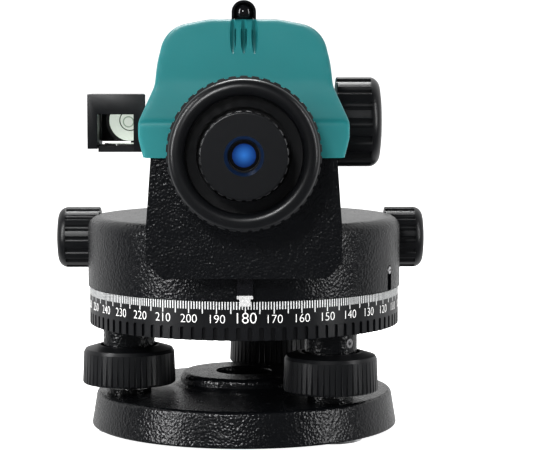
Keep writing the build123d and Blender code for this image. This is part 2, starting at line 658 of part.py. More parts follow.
def top_cover():
    cover = cover_solid(0, BODY_TOP_Z) - cover_solid(COVER_WALL, BODY_TOP_Z - 5)
    for x, y in cover_screw_places():
        post = rod(COVER_POST_R, BODY_TOP_Z, COVER_POST_H, at=(x, y, 0))
        cover += post & cover_solid(0.5, BODY_TOP_Z - 5)
        cover -= rod(COVER_SCREW_R, BODY_TOP_Z - 1, COVER_POST_H, at=(x, y, 0))
    low = BODY_TOP_Z - 5
    rear_r = EYE_TUBE_R + 5.7
    cover -= rod(rear_r, COVER_REAR_Y - 1, COVER_WALL + 2, "Y", SPINE)
    cover -= block(-rear_r, rear_r, COVER_REAR_Y - 1, COVER_REAR_Y + COVER_WALL + 1, low, AXIS_Z)
    front_r = BARREL_R + BARREL_COLLAR_T + 0.2
    cover -= rod(front_r, BODY_FRONT_Y - COVER_WALL - 1, 5, "Y", SPINE)
    cover -= block(-front_r, front_r, BODY_FRONT_Y - COVER_WALL - 1, BODY_FRONT_Y + 1, low, AXIS_Z)
    bush_r = FOCUS_BUSH_R + 0.3
    cover -= rod(bush_r, FOCUS_TAB_X + FOCUS_TAB_T, 12, "X", (0, FOCUS_Y, FOCUS_Z))
    cover -= block(FOCUS_TAB_X + FOCUS_TAB_T, 36, FOCUS_Y - bush_r, FOCUS_Y + bush_r, low, FOCUS_Z)
    return cover


def cover_screws():
    head_z = DRUM_ROOF_Z - 2.0
    length = BODY_TOP_Z + COVER_SCREW_L - head_z
    screws = []
    for x, y in cover_screw_places():
        screw = rod(COVER_SCREW_R, head_z, length, at=(x, y, 0))
        screws.append(screw + rod(COVER_SCREW_R * 1.8, head_z, 2.0, at=(x, y, 0)))
    return screws


def sight_arch():
    arch = mirrored([(SIGHT_HALF, COVER_TOP_Z), (SIGHT_HALF, SIGHT_TOP_Z, SIGHT_HALF - 0.1)])
    inner = SIGHT_HALF - 0.8
    hole = mirrored([(inner, COVER_TOP_Z - 1), (inner, SIGHT_TOP_Z - 0.8, inner - 0.1)])
    y0 = SIGHT_Y - SIGHT_DEPTH / 2
    return along_y(arch, y0, y0 + SIGHT_DEPTH) - along_y(hole, y0 - 1, y0 + SIGHT_DEPTH + 1)


def sight_bead():
    centre = SIGHT_TOP_Z - 0.8 - BEAD_R - 0.2
    bead = Pos(0, SIGHT_Y, centre) * Sphere(BEAD_R)
    return bead - block(-BEAD_R, BEAD_R, SIGHT_Y - BEAD_R, SIGHT_Y + BEAD_R, 0, COVER_TOP_Z)


# ================================================================ objective
def lens(radius, edge, bulge, start):
    """A plano-convex lens on the optical axis, its flat side at start, bulging to +Y."""
    ball_r = (radius ** 2 + bulge ** 2) / (2 * bulge)
    ball = Pos(0, start + edge + bulge - ball_r, AXIS_Z) * Sphere(ball_r)
    return rod(radius, start, edge + bulge, "Y", SPINE) & ball


def objective_ring():
    back = OBJ_RING_END_Y - OBJ_RING_L
    return turned([
        (BARREL_R, back), (OBJ_RING_R, back, 0.5), (OBJ_RING_R, OBJ_RING_END_Y, 0.8),
        (BARREL_R - OBJ_RING_LIP, OBJ_RING_END_Y, 0.8), (BARREL_BORE_R, BARREL_END_Y + 1),
        (BARREL_BORE_R, BARREL_END_Y), (BARREL_R, BARREL_END_Y)], "Y", SPINE)


def objective_cell():
    return tube(OBJ_LENS_R, BARREL_BORE_R, BARREL_END_Y - OBJ_CELL_L, OBJ_CELL_L, "Y", SPINE)


def objective_lenses():
    return [lens(OBJ_LENS_R, 3.0, 1.6, BARREL_END_Y - 6.5),
            lens(OBJ_LENS_R, 2.4, 0.8, BARREL_END_Y - 11.5)]


# ================================================================ focusing
def focus_knob():
    body = turned([
        (FOCUS_SHAFT_R, 0), (FOCUS_KNOB_R, 0, 0.6), (FOCUS_KNOB_R, FOCUS_KNOB_L - 0.8, 3.8),
        (FOCUS_KNOB_R * 0.6, FOCUS_KNOB_L), (0, FOCUS_KNOB_L), (0, FOCUS_KNOB_L - 3),
        (FOCUS_SHAFT_R, FOCUS_KNOB_L - 3)])
    body -= scallops(2.2, FOCUS_KNOB_R + 1.4, -1, FOCUS_KNOB_L - 2.5, FOCUS_FLUTES)
    return placed(body, "X", (FOCUS_KNOB_X, FOCUS_Y, FOCUS_Z))


PINION_PITCH = 2 * math.pi * PINION_R / PINION_TEETH
RACK_Z = FOCUS_Z - PINION_R               # the line where pinion and rack roll on each other


def rack_gap(depth):
    """The slot between two teeth, standing on y = 0 and open upwards."""
    half = PINION_PITCH / 2 - 0.28
    return [(-half + 0.13, -depth), (half - 0.13, -depth), (half + 0.16, depth), (-half - 0.16, depth)]


def focus_pinion_shaft():
    pinion = rod(PINION_R + TOOTH_OUT, RACK_X, RACK_W)
    slot = extrude(outline([(PINION_R + z, y) for y, z in rack_gap(0.5)]), RACK_X + RACK_W + 1)
    pinion -= around_z(slot, PINION_TEETH, 180.0 / PINION_TEETH)
    shaft = pinion + rod(FOCUS_SHAFT_R, RACK_X + RACK_W, FOCUS_KNOB_X + FOCUS_KNOB_L - 3 - RACK_X - RACK_W)
    return placed(shaft, "X", (0, FOCUS_Y, FOCUS_Z))


def focus_carriage():
    start = CELL_Y - CELL_L / 2
    end = start + CELL_L
    rack_start = FOCUS_Y - FOCUS_TRAVEL - 3
    carriage = rod(CELL_R, start, CELL_L, "Y", SPINE)
    carriage += block(-ROD_X - 2.5, ROD_X + 2.5, start, end, ROD_Z - 3, ROD_Z + 3)
    carriage += block(CELL_R - 4, RACK_X + RACK_W, start, end, ROD_Z, RACK_Z - 2.6)
    rack = block(RACK_X, RACK_X + RACK_W, rack_start, end, RACK_Z - 2.6, RACK_Z + TOOTH_OUT)
    gap = along_x(outline(rack_gap(0.5)), RACK_X - 1, RACK_X + RACK_W + 1)
    count = int((FOCUS_TRAVEL + 2) / PINION_PITCH)
    rack -= [Pos(0, FOCUS_Y + k * PINION_PITCH, RACK_Z) * gap for k in range(-count, count + 1)]
    carriage += rack
    carriage -= rod(FOCUS_LENS_R, start - 1, CELL_L + 2, "Y", SPINE)
    for side in (-1, 1):
        carriage -= rod(ROD_R + RUN, start - 1, CELL_L + 2, "Y", (side * ROD_X, 0, ROD_Z))
    return carriage


def focusing_lens():
    return lens(FOCUS_LENS_R, 2.0, 1.0, CELL_Y - 1.5)


def focus_guide_rods():
    length = BODY_FRONT_Y - BULKHEAD_T - ROD_START_Y
    return [rod(ROD_R, ROD_START_Y, length, "Y", (side * ROD_X, 0, ROD_Z)) for side in (-1, 1)]


# ================================================================ compensator
PRISM_Z = AXIS_Z - PRISM / 2
PENDULUM_HALF = COMP_HALF_W - COMP_CHEEK_T - GAP


def compensator_frame():
    rear = COMP_Y - COMP_LEN / 2
    front = COMP_Y + COMP_LEN / 2
    frame = block(-COMP_HALF_W, COMP_HALF_W, rear, front, DRUM_TOP_Z, DRUM_TOP_Z + 3)
    for side in (-1, 1):
        inner = side * (COMP_HALF_W - COMP_CHEEK_T)
        x0, x1 = sorted((inner, side * COMP_HALF_W))
        frame += block(x0, x1, COMP_Y - 7, COMP_Y + 7, DRUM_TOP_Z, PIVOT_Z + 7)
    frame += block(-COMP_HALF_W, COMP_HALF_W, COMP_Y - 7, COMP_Y + 7, PIVOT_Z + 5, PIVOT_Z + 7)
    for y0 in (rear, front - 7):
        frame += block(-PRISM / 2, PRISM / 2, y0, y0 + 7, DRUM_TOP_Z, PRISM_Z)
    return frame + rod(PIVOT_R, -COMP_HALF_W, 2 * COMP_HALF_W, "X", (0, COMP_Y, PIVOT_Z))


def fixed_prisms():
    rear = COMP_Y - COMP_LEN / 2
    front = COMP_Y + COMP_LEN / 2
    return [block(-PRISM / 2, PRISM / 2, y0, y0 + 7, PRISM_Z, PRISM_Z + PRISM)
            for y0 in (rear, front - 7)]


def damping_magnets():
    return [block(x0, x0 + 4, COMP_Y - 4, COMP_Y + 4, DRUM_TOP_Z + 3, PENDULUM_BOTTOM_Z - 1.2)
            for x0 in (-6, 2)]


def compensator_pendulum():
    pendulum = rod(3.0, -PENDULUM_HALF, 2 * PENDULUM_HALF, "X", (0, COMP_Y, PIVOT_Z))
    for side in (-1, 1):
        x0, x1 = sorted((side * (PENDULUM_HALF - 1.1), side * PENDULUM_HALF))
        pendulum += block(x0, x1, COMP_Y - 2.5, COMP_Y + 2.5, PENDULUM_BOTTOM_Z, PIVOT_Z)
    pendulum += block(-PENDULUM_HALF, PENDULUM_HALF, COMP_Y - 5, COMP_Y + 5, PENDULUM_BOTTOM_Z, PRISM_Z)
    return pendulum - rod(PIVOT_R + RUN, -20, 40, "X", (0, COMP_Y, PIVOT_Z))


def pendulum_prism():
    half = PENDULUM_HALF - 1.1
    return block(-half, half, COMP_Y - 5, COMP_Y + 5, PRISM_Z, PRISM_Z + PRISM)


# ================================================================ eyepiece
def eyepiece_barrel():
    length = BODY_REAR_Y + BULKHEAD_T + 8 - EYE_TUBE_END_Y
    return tube(EYE_TUBE_BORE_R, EYE_TUBE_R, EYE_TUBE_END_Y, length, "Y", SPINE)


def eyepiece_cover_ring():
    back = COVER_REAR_Y - 0.2
    front = EYE_RING_FRONT_Y
    pocket = DIOPTRE_BACK_Y + 1.0
    ring = turned([
        (EYE_TUBE_R, back), (EYE_RING_R - 1.5, back), (EYE_RING_R, back - 1.5),
        (EYE_RING_R, front + 6), (EYE_RING_R - 1.3, front + 4.5), (EYE_RING_R - 1.3, front + 2.5, 1.5),
        (EYE_RING_R - 3.3, front), (18.1, front + 1.4), (18.1, front + 2.4),
        (DIOPTRE_R + 1, front + 2.8), (DIOPTRE_R + 1, pocket), (EYE_TUBE_R, pocket)], "Y", SPINE)
    teeth = scallops(0.75, EYE_RING_R + 0.15, front + 5.5, back - front - 6.5, EYE_RING_TEETH)
    return ring - [placed(cutter, "Y", SPINE) for cutter in teeth]


def dioptre_ring():
    web = EYE_TUBE_END_Y - 1.2
    ring = turned([
        (EYE_TUBE_R + RUN, DIOPTRE_BACK_Y), (DIOPTRE_R, DIOPTRE_BACK_Y),
        (DIOPTRE_R, DIOPTRE_FRONT_Y, 0.8), (EYE_HOLE_R, DIOPTRE_FRONT_Y), (EYE_HOLE_R - 1, web),
        (EYE_TUBE_R + RUN, web)], "Y", SPINE)
    grooves = scallops(0.9, DIOPTRE_R + 0.45, DIOPTRE_FRONT_Y - 1, 12, DIOPTRE_SCALLOPS)
    return ring - [placed(cutter, "Y", SPINE) for cutter in grooves]


def eye_lens_cell():
    start = EYE_TUBE_END_Y + 1.2
    return tube(EYE_LENS_R, EYE_TUBE_BORE_R - RUN, start, 14, "Y", SPINE)


def eye_lenses():
    start = EYE_TUBE_END_Y + 1.2
    return [lens(EYE_LENS_R, 2.0, 0.8, start + y) for y in (0.8, 9.0)]


def reticle_holder():
    return tube(5.0, EYE_TUBE_BORE_R, RETICLE_Y - 1, 4, "Y", SPINE)


def reticle_glass():
    return rod(5.0, RETICLE_Y, 1.2, "Y", SPINE)


# ================================================================ vial and mirror
HOLDER_Z = VIAL_TOP_Z - VIAL_H - VIAL_PLATE_T


def vial_mirror_housing():
    inner_x = BOX_LEFT_X + BOX_WALL
    right_x = BOX_PLATE_X + 2.3
    y0, y1 = BOX_FRONT_Y, BOX_BACK_Y
    box = block(BOX_LEFT_X, inner_x, y0, y1, BOX_BOTTOM_Z, BOX_TOP_Z)
    box += block(BOX_LEFT_X, right_x, y0, y1, BOX_TOP_Z - 2, BOX_TOP_Z)
    box += block(BOX_LEFT_X, right_x, y0, y0 + 2, BOX_ROOF_Z, BOX_TOP_Z)
    box += block(BOX_LEFT_X, right_x, y1 - 2, y1, VIAL_TOP_Z + 0.4, BOX_TOP_Z)
    box += block(BOX_PLATE_X, right_x, y0, y1, VIAL_TOP_Z + 0.4, BOX_TOP_Z)
    box += block(BOX_PLATE_X, right_x + 1.5, y0, y0 + 2, BOX_BOTTOM_Z - 1, BOX_TOP_Z)
    arm_y = VIAL_Y + VIAL_R + 0.6
    arm = block(BOX_PLATE_X - 2, ARM_INNER_X, arm_y, y1, BOX_BOTTOM_Z - 1, VIAL_TOP_Z + 0.4)
    arm += block(ARM_FOOT_X, ARM_INNER_X, arm_y, y1, BODY_TOP_Z - ARM_FOOT_H, BOX_BOTTOM_Z)
    arm += block(ARM_TAB_X, ARM_INNER_X, arm_y, y1, VIAL_TOP_Z, VIAL_TOP_Z + ARM_TAB_H)
    drum, body = housing_shell()
    return box + (arm - body - cover_solid(-0.1, BODY_TOP_Z - 0.1))


def mirror_centre():
    """Middle of the reflecting face: the face climbs towards the eyepiece at 45 degrees."""
    z = (VIAL_TOP_Z + BOX_ROOF_Z) / 2 + 0.1
    return (BOX_LEFT_X + BOX_WALL + BOX_PLATE_X) / 2, VIAL_Y + VIAL_R - 0.6 - (z - VIAL_TOP_Z), z


def vial_mirror():
    x, y, z = mirror_centre()
    width = BOX_PLATE_X - BOX_LEFT_X - BOX_WALL - 0.1
    length = (BOX_ROOF_Z - VIAL_TOP_Z) * math.sqrt(2) - 0.9
    return Pos(x, y, z) * (Rot(-45, 0, 0) * Pos(0, 0, MIRROR_T / 2) * Box(width, length, MIRROR_T))


def vial_holder():
    arm_y = VIAL_Y + VIAL_R + 0.6
    x0, x1 = BOX_LEFT_X + BOX_WALL + 0.1, -COVER_LOW_HALF - 0.2
    holder = block(x0, x1, BOX_FRONT_Y + 2.1, arm_y, HOLDER_Z, VIAL_TOP_Z - 0.6)
    holder -= rod(VIAL_R, HOLDER_Z + VIAL_PLATE_T, 10, at=(VIAL_X, VIAL_Y, 0))
    return holder


def circular_vial():
    return rod(VIAL_R, HOLDER_Z + VIAL_PLATE_T, VIAL_H, at=(VIAL_X, VIAL_Y, 0))


# ================================================================ write every node
save("base_plate", base_plate())
save("spring_plate", spring_plate())
save("spring_plate_screws", spring_plate_screws())
save("ball_retainers", ball_retainers())
save("ball_seat_lower_c", lower_seat("c"))
save("ball_seat_upper_c", upper_seat("c"))
knob = footscrew_knob()
for screw_name in SCREW_ANGLES:
    save(f"ball_foot_{screw_name}", ball_foot(screw_name))
    save(f"footscrew_shaft_{screw_name}", footscrew_shaft(screw_name))
    save(f"footscrew_knob_{screw_name}", Pos(*at_screw(screw_name)) * knob)
save("levelling_head", levelling_head())
save("head_set_screws", head_set_screws())
save("centre_spindle", centre_spindle())
save("clutch_spring", clutch_spring())
save("spindle_nut", spindle_nut())
save("circle_friction_ring", circle_friction_ring())
save("horizontal_circle", horizontal_circle())
save("worm_wheel", worm_wheel())
save("tangent_worm_shaft", tangent_worm_shaft())
save("tangent_knob_left", tangent_knob(TANGENT_LEFT_X, -1, TANGENT_KNOB_L))
save("tangent_knob_right", tangent_knob(TANGENT_RIGHT_X, 1, TANGENT_RIGHT_L))
save("main_housing", main_housing())
save("housing_bottom_plate", housing_bottom_plate())
save("spindle_bush", spindle_bush())
save("shaft_bushes", shaft_bushes())
save("index_pointer", index_pointer())
save("housing_screw", housing_screw())
save("top_cover", top_cover())
save("cover_screws", cover_screws())
save("sight_arch", sight_arch())
save("sight_bead", sight_bead())
save("objective_ring", objective_ring())
save("objective_cell", objective_cell())
save("objective_lenses", objective_lenses())
save("focus_knob", focus_knob())
save("focus_pinion_shaft", focus_pinion_shaft())
save("focus_carriage", focus_carriage())
save("focusing_lens", focusing_lens())
save("focus_guide_rods", focus_guide_rods())
save("compensator_frame", compensator_frame())
save("fixed_prisms", fixed_prisms())
save("damping_magnets", damping_magnets())
save("compensator_pendulum", compensator_pendulum())
save("pendulum_prism", pendulum_prism())
save("eyepiece_barrel", eyepiece_barrel())
save("eyepiece_cover_ring", eyepiece_cover_ring())
save("dioptre_ring", dioptre_ring())
save("eye_lens_cell", eye_lens_cell())
save("eye_lenses", eye_lenses())
save("reticle_holder", reticle_holder())
save("reticle_glass", reticle_glass())
save("vial_mirror_housing", vial_mirror_housing())
save("vial_mirror", vial_mirror())
save("vial_holder", vial_holder())
save("circular_vial", circular_vial())
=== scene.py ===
import math

import bpy
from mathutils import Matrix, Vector


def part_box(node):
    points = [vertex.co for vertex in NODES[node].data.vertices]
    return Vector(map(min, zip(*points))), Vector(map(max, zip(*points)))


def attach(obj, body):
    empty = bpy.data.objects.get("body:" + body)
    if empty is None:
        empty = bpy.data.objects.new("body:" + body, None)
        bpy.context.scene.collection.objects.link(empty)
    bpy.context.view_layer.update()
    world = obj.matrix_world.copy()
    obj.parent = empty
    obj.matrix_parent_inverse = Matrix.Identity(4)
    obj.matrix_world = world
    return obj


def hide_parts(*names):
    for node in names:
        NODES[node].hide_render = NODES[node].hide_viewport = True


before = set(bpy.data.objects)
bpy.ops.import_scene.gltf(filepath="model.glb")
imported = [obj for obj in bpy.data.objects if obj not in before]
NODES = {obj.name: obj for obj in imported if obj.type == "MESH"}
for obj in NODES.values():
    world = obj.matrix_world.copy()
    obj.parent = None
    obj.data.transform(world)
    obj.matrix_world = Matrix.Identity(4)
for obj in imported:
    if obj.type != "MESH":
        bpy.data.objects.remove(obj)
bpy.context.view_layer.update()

# ---------------------------------------------------------------------------
# The studio: a pale floor and a wide white surround behind the level, which lights the rims of
# its black parts.  A tall soft box stands at each side, one hangs behind and above, and a small
# one fills from the front.  The camera is at the eyepiece end, a little above the telescope.
# ---------------------------------------------------------------------------
CAMERA_AWAY = 0.670
CAMERA_UP = 0.1217
CAMERA_PITCH = 4.5
CAMERA_YAW = 0.91
CAMERA_LENS = 127.8
CAMERA_SENSOR = 36.0
SURROUND_WHITE = 0.7
SURROUND_DARK = 0.07
SURROUND_FADE = (-0.15, 0.45)      # how far round towards the back it turns from dark to white
FLOOR_SIZE = 6.0
FLOOR_BELOW = 0.0002
FLOOR_WHITE = 0.93
FLOOR_ROUGH = 0.9
FLOOR_GLOW = 0.8

bpy.ops.object.select_all(action="DESELECT")
bpy.ops.object.camera_add(
    location=(0, -CAMERA_AWAY, CAMERA_UP),
    rotation=(math.radians(90 - CAMERA_PITCH), 0, -math.radians(CAMERA_YAW)))
bpy.context.scene.camera = bpy.context.object
bpy.context.object.data.lens = CAMERA_LENS
bpy.context.object.data.sensor_width = CAMERA_SENSOR
bpy.context.scene.view_settings.view_transform = "Standard"
bpy.context.scene.view_settings.look = "Medium High Contrast"


def soft_box(place, aim, size, power):
    """A rectangular area light at place, pointed at aim."""
    bpy.ops.object.light_add(type="AREA", location=place)
    lamp = bpy.context.object
    lamp.rotation_mode = "QUATERNION"
    lamp.rotation_quaternion = (Vector(aim) - Vector(place)).to_track_quat("-Z", "Y")
    lamp.data.shape = "RECTANGLE"
    lamp.data.size, lamp.data.size_y = size
    lamp.data.energy = power


soft_box(place=(-0.58, -0.36, 0.32), aim=(0, 0, 0.08), size=(0.10, 0.62), power=3.4)
soft_box(place=(0.62, -0.30, 0.28), aim=(0, 0, 0.08), size=(0.10, 0.60), power=1.8)
soft_box(place=(-0.05, 0.42, 0.72), aim=(0, 0, 0.08), size=(0.40, 0.20), power=3.6)
soft_box(place=(-0.20, -0.85, 0.44), aim=(0, 0, 0.09), size=(0.16, 0.16), power=2.8)

surround = bpy.data.worlds.new("surround")
bpy.context.scene.world = surround
surround.use_nodes = True
sky = surround.node_tree
sky_out = sky.nodes["Background"]
direction = sky.nodes.new("ShaderNodeTexCoord").outputs["Generated"]
split = sky.nodes.new("ShaderNodeSeparateXYZ")
sky.links.new(direction, split.inputs[0])
behind = sky.nodes.new("ShaderNodeMapRange")
behind.interpolation_type = "SMOOTHSTEP"
behind.inputs["From Min"].default_value = SURROUND_FADE[0]
behind.inputs["From Max"].default_value = SURROUND_FADE[1]
behind.inputs["To Min"].default_value = SURROUND_DARK
behind.inputs["To Max"].default_value = SURROUND_WHITE
sky.links.new(split.outputs["Y"], behind.inputs["Value"])
seen = sky.nodes.new("ShaderNodeLightPath").outputs["Is Camera Ray"]
strength = sky.nodes.new("ShaderNodeMath")
strength.operation = "MAXIMUM"
sky.links.new(behind.outputs["Result"], strength.inputs[0])
sky.links.new(seen, strength.inputs[1])
sky.links.new(strength.outputs[0], sky_out.inputs["Strength"])
sky_out.inputs["Color"].default_value = (1, 1, 1, 1)

bpy.ops.mesh.primitive_plane_add(size=FLOOR_SIZE, location=(0, 0, -FLOOR_BELOW))
floor = bpy.context.object
floor.name = "floor"
floor.visible_glossy = False
floor_white = bpy.data.materials.new("floor_white")
floor_white.use_nodes = True
floor_shader = floor_white.node_tree.nodes["Principled BSDF"].inputs
floor_shader["Base Color"].default_value = (FLOOR_WHITE, FLOOR_WHITE, FLOOR_WHITE, 1)
floor_shader["Roughness"].default_value = FLOOR_ROUGH
floor_shader["Emission Color"].default_value = (1, 1, 1, 1)
floor_shader["Emission Strength"].default_value = FLOOR_GLOW
floor.data.materials.append(floor_white)

# ---------------------------------------------------------------------------
# Castings: the base plate, the levelling head and the main housing are cast aluminium under a
# thick glossy black paint whose surface dried in small hammered cells.
# ---------------------------------------------------------------------------
MM = 0.001
PAINT_BLACK = (0.0045, 0.0050, 0.0062)
HAMMER_CELL = 0.85 * MM
HAMMER_DEPTH = 0.15 * MM
HAMMER_SMOOTH = 0.6
HAMMER_WANDER = 2.2 * MM           # the cells' outlines wander over this length
HAMMER_WARP = 0.9 * MM             # by as much as this
HAMMER_GRAIN = 0.5 * MM
HAMMER_GRAIN_SHARE = 0.35


class Value:
    """A shader socket that Python's operators work on: each one adds a Math node."""

    def __init__(self, finish, socket):
        self.finish, self.socket = finish, socket

    def maths(self, operation, *inputs):
        return self.finish.add("ShaderNodeMath", {"operation": operation}, inputs)

    def __add__(self, other):
        return self.maths("ADD", self, other)

    def __radd__(self, other):
        return self.maths("ADD", other, self)

    def __sub__(self, other):
        return self.maths("SUBTRACT", self, other)

    def __rsub__(self, other):
        return self.maths("SUBTRACT", other, self)

    def __mul__(self, other):
        return self.maths("MULTIPLY", self, other)

    def __rmul__(self, other):
        return self.maths("MULTIPLY", other, self)

    def __truediv__(self, other):
        return self.maths("DIVIDE", self, other)

    def __gt__(self, other):
        return self.maths("GREATER_THAN", self, other)

    def __lt__(self, other):
        return self.maths("LESS_THAN", self, other)

    def __abs__(self):
        return self.maths("ABSOLUTE", self)

    def rounded(self):
        return self.maths("ROUND", self)


class Finish:
    """One material: a Principled shader and the nodes that feed it."""

    def __init__(self, name, **shader):
        self.material = bpy.data.materials.new(name)
        self.material.use_nodes = True
        self.tree = self.material.node_tree
        self.shader = self.tree.nodes["Principled BSDF"]
        self.place = self.add("ShaderNodeTexCoord", output="Object")
        self.feed(**shader)

    def set(self, node, values):
        """Links or sets a node's inputs; a colour may be given without its alpha."""
        for key, value in values.items():
            if isinstance(value, Value):
                self.tree.links.new(value.socket, node.inputs[key])
            elif node.inputs[key].type == "RGBA":
                node.inputs[key].default_value = (*value, 1)
            else:
                node.inputs[key].default_value = value

    def feed(self, **values):
        """Links or sets the shader's own inputs, an underscore standing for each space."""
        self.set(self.shader, {key.replace("_", " "): value for key, value in values.items()})

    def add(self, kind, settings=None, inputs=(), output=0):
        """A node of that kind, its settings made first, then its inputs; returns one output."""
        node = self.tree.nodes.new(kind)
        for key, value in (settings or {}).items():
            setattr(node, key, value)
        self.set(node, inputs if isinstance(inputs, dict) else dict(enumerate(inputs)))
        return Value(self, node.outputs[output])

    def axes(self):
        """The three coordinates of the shaded point."""
        apart = self.add("ShaderNodeSeparateXYZ", None, (self.place,)).socket.node
        return [Value(self, output) for output in apart.outputs]

    def distance(self, x, y, z):
        """Distance of the shaded point from (x, y, z); an axis given as None doesn't count."""
        total = 0
        for here, centre in zip(self.axes(), (x, y, z)):
            if centre is not None:
                off = here - centre
                total = off * off + total
        return total.maths("SQRT", total)

    def noise(self, size, detail=3.0, output="Fac"):
        """Cloudy noise whose blots are about size metres across."""
        return self.add("ShaderNodeTexNoise", None,
                        {"Vector": self.place, "Scale": 1 / size, "Detail": detail}, output)

    def bump(self, height, depth):
        """Height from 0 to 1 becomes a relief that is depth metres tall."""
        self.feed(Normal=self.add(
            "ShaderNodeBump", None, {"Height": height, "Distance": depth, "Strength": 1.0}, "Normal"))

    def patchy(self, low, span, size):
        """Roughness from low to low + span, in blots about size metres across."""
        self.feed(Roughness=low + span * self.noise(size))

    def mix(self, amount, first, second):
        """Blends two colours."""
        return self.add("ShaderNodeMix", {"data_type": "RGBA"},
                        {"Factor": amount, 6: first, 7: second}, 2)

    def coat(self, *names):
        """Gives this finish to CAD nodes."""
        for name in names:
            for slot in NODES[name].material_slots:
                slot.material = self.material

    def dress(self, piece):
        """Makes this the only finish of a new piece."""
        piece.data.materials.clear()
        piece.data.materials.append(self.material)


paint = Finish("hammered_black_paint", Base_Color=PAINT_BLACK, Specular_IOR_Level=0.5)
wander = paint.noise(HAMMER_WANDER, detail=2.0, output="Color")
warped = paint.add("ShaderNodeVectorMath", {"operation": "MULTIPLY_ADD"},
                   (wander, (HAMMER_WARP,) * 3, paint.place))
cells = paint.add("ShaderNodeTexVoronoi", {"feature": "SMOOTH_F1"},
                  {"Vector": warped, "Scale": 1 / HAMMER_CELL, "Smoothness": HAMMER_SMOOTH}, "Distance")
paint.bump(cells + HAMMER_GRAIN_SHARE * paint.noise(HAMMER_GRAIN), depth=HAMMER_DEPTH)
paint.patchy(low=0.18, span=0.14, size=4.0 * MM)
paint.coat("base_plate", "levelling_head", "main_housing")

# ---------------------------------------------------------------------------
# Knobs and the vial's holder and mirror box: moulded in black plastic with a fine satin grain.
# ---------------------------------------------------------------------------
PLASTIC_BLACK = (0.0065, 0.0070, 0.0082)

plastic = Finish("satin_black_plastic", Base_Color=PLASTIC_BLACK, Specular_IOR_Level=0.5)
plastic.bump(plastic.noise(size=0.25 * MM, detail=2.0), depth=0.012 * MM)
plastic.patchy(low=0.28, span=0.14, size=3.0 * MM)
plastic.coat("footscrew_knob_a", "footscrew_knob_b", "footscrew_knob_c", "tangent_knob_left",
             "tangent_knob_right", "vial_mirror_housing", "vial_holder")

# ---------------------------------------------------------------------------
# Shafts, screws, balls and springs: bright steel, turned or machined.
# ---------------------------------------------------------------------------
steel = Finish("turned_steel", Base_Color=(0.62, 0.62, 0.63), Metallic=1.0)
steel.bump(steel.noise(size=0.2 * MM), depth=0.006 * MM)
steel.patchy(low=0.20, span=0.15, size=1.5 * MM)
steel.coat("spring_plate", "spring_plate_screws", "ball_foot_a", "ball_foot_b", "ball_foot_c",
           "footscrew_shaft_a", "footscrew_shaft_b", "footscrew_shaft_c", "head_set_screws",
           "centre_spindle", "clutch_spring", "spindle_nut", "tangent_worm_shaft",
           "focus_pinion_shaft", "focus_guide_rods", "housing_screw", "cover_screws",
           "damping_magnets")

# ---------------------------------------------------------------------------
# Ball seats, their retaining discs, the bushes that shafts run in and the worm wheel: turned from
# brass.
# ---------------------------------------------------------------------------
brass = Finish("turned_brass", Base_Color=(0.72, 0.53, 0.24), Metallic=1.0)
brass.patchy(low=0.24, span=0.16, size=1.5 * MM)
brass.coat("ball_retainers", "ball_seat_lower_c", "ball_seat_upper_c", "worm_wheel",
           "spindle_bush", "shaft_bushes")

# ---------------------------------------------------------------------------
# The friction ring: a thin felt washer that lies on the levelling head, under the hub of the
# circle.
# ---------------------------------------------------------------------------
felt = Finish("dark_felt", Base_Color=(0.03, 0.03, 0.03), Roughness=0.95)
felt.bump(felt.noise(size=0.3 * MM), depth=0.1 * MM)
felt.coat("circle_friction_ring")

# ---------------------------------------------------------------------------
# Cells, holders and frames inside the telescope: turned aluminium, anodised black against
# stray light.
# ---------------------------------------------------------------------------
anodised = Finish("black_anodised", Base_Color=(0.014, 0.014, 0.016))
anodised.patchy(low=0.36, span=0.12, size=2.0 * MM)
anodised.coat("housing_bottom_plate", "reticle_holder", "eyepiece_barrel", "objective_cell",
              "focus_carriage", "compensator_frame", "compensator_pendulum", "eye_lens_cell")

# ---------------------------------------------------------------------------
# The horizontal circle: a black anodised ring with a white line for every degree from its top
# edge down, longer at every fifth.
# ---------------------------------------------------------------------------
DEGREE_AT_EYEPIECE = 180.4
LONG_EVERY = 5
LINE_SHORT = 2.6 * MM
LINE_LONG = 4.0 * MM
LINE_DUTY = 0.40                   # width of a line, as a share of a degree
LINE_WHITE = (0.66, 0.67, 0.67)
LINE_DULLER = 0.15                 # the filled lines are this much rougher than the ring
RING_BLACK = (0.006, 0.0065, 0.008)
RING_SKIN = 0.1 * MM
ring_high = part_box("horizontal_circle")[1]

graduated = Finish("graduated_black")
east, north, up = graduated.axes()
turn = east.maths("ARCTAN2", 0 - east, 0 - north)
degree = turn * (180 / math.pi) + DEGREE_AT_EYEPIECE
fifth = degree / LONG_EVERY
near_line = abs(degree - degree.rounded()) < LINE_DUTY / 2
near_fifth = abs(fifth - fifth.rounded()) < LINE_DUTY / 2 / LONG_EVERY
outside = graduated.distance(0, 0, None) > ring_high.x - RING_SKIN
tall_enough = up > ring_high.z - LINE_SHORT - near_fifth * (LINE_LONG - LINE_SHORT)
line = near_line * tall_enough * outside
graduated.feed(
    Base_Color=graduated.mix(line, RING_BLACK, LINE_WHITE),
    Roughness=0.30 + 0.10 * graduated.noise(size=2.0 * MM) + LINE_DULLER * line)
graduated.coat("horizontal_circle")

# ---------------------------------------------------------------------------
# The circle's numerals: one under every tenth line, engraved and filled white, here a thin layer
# wrapped round the ring.  The numbers run clockwise, and those at 0 and 180 are larger.
# ---------------------------------------------------------------------------
NUMERAL_EVERY = 10
NUMERAL_HEIGHT = 2.75 * MM
NUMERAL_CAP = 0.70                 # height of a numeral, as a share of the type's size
NUMERAL_BASE = 41.7 * MM
NUMERAL_LARGER = 1.28
NUMERAL_T = 0.02 * MM
NUMERAL_PROUD = 0.04 * MM
STROKE_TRIM = -0.04 * MM


